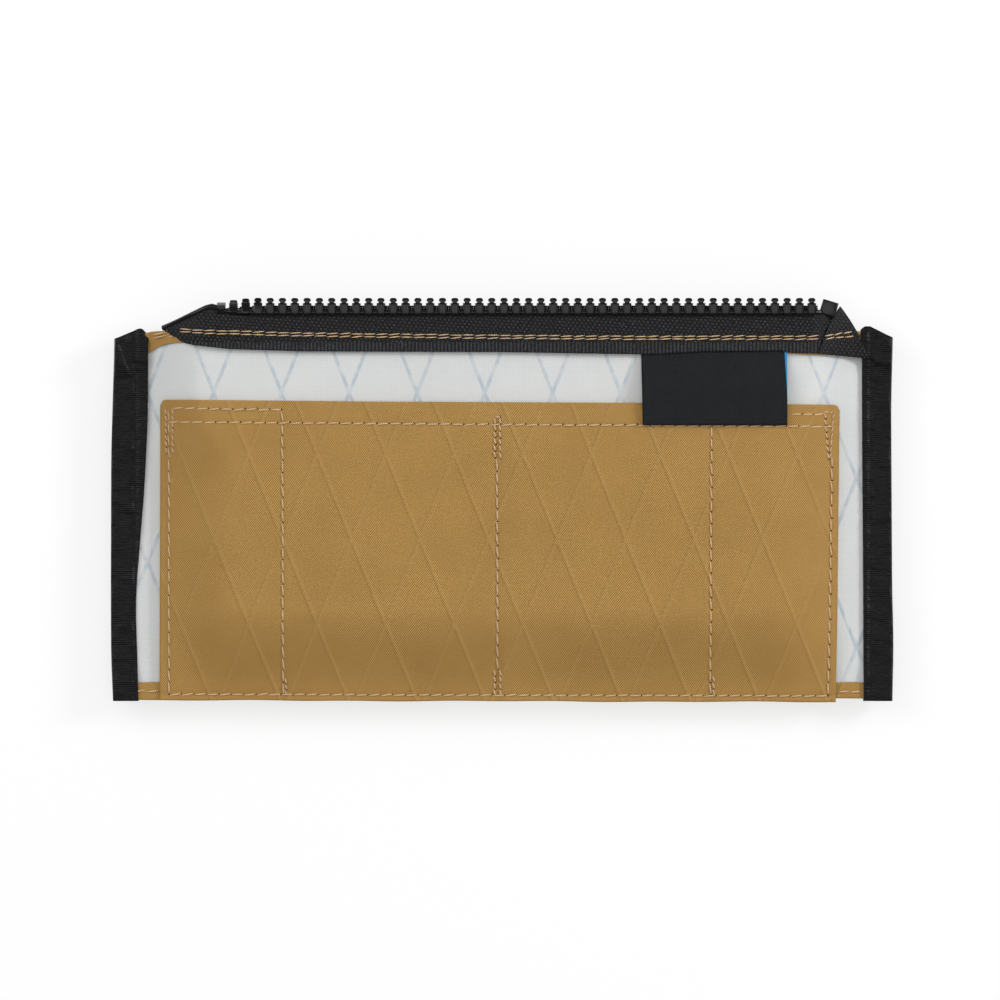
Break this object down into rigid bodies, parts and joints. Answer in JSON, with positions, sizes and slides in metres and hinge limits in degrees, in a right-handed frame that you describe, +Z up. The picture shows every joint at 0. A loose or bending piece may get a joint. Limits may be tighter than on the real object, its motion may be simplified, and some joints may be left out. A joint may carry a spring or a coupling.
{
  "type": "zip wallet",
  "caption": "Flat zip pocket case turned inside out, with a sewn pocket panel, bound side seams and an open moulded-tooth zip.",
  "frame": {"origin": "on the flat outer face of the back wall, which the case lies on, at the middle of the picture's view", "axes": "+X along the zip towards the top stops, +Y from the bottom seam to the mouth, +Z up through the front wall"},
  "size_m": [0.2056, 0.1063, 0.0177],
  "materials": {
    "laminated_cloth": "laminated cloth, white film lining out, woven face in",
    "woven_cloth": "woven, coyote brown",
    "label": "fine woven label tape",
    "binding": "black binding tape",
    "zipper_tape": "black woven zip tape",
    "zipper_teeth": "moulded acetal, satin black",
    "slider_metal": "black paint on die-cast metal"
  },
  "bodies": {
    "pouch": {"front_wall": "laminated_cloth", "back_wall": "laminated_cloth", "pocket_panel": "woven_cloth", "woven_label": "label", "left_binding": "binding", "right_binding": "binding", "front_zipper_tape": "zipper_tape", "back_zipper_tape": "zipper_tape", "front_tooth_row": "zipper_teeth", "back_tooth_row": "zipper_teeth", "front_top_stop": "zipper_teeth", "back_top_stop": "zipper_teeth", "bottom_stop": "zipper_teeth"},
    "slider": {"slider_body": "slider_metal"},
    "pull": {"pull_tab": "slider_metal"}
  },
  "joints": [
    {"name": "slider_slide", "type": "slide", "parent": "pouch", "child": "slider", "axis": [1, 0, 0], "range_m": [0, 0.146]},
    {"name": "pull_swing", "type": "hinge", "parent": "slider", "child": "pull", "pos_m": [-0.072, 0.04305, 0.00782], "axis": [0, 0, 1], "range_deg": [-70, 70]}
  ]
}
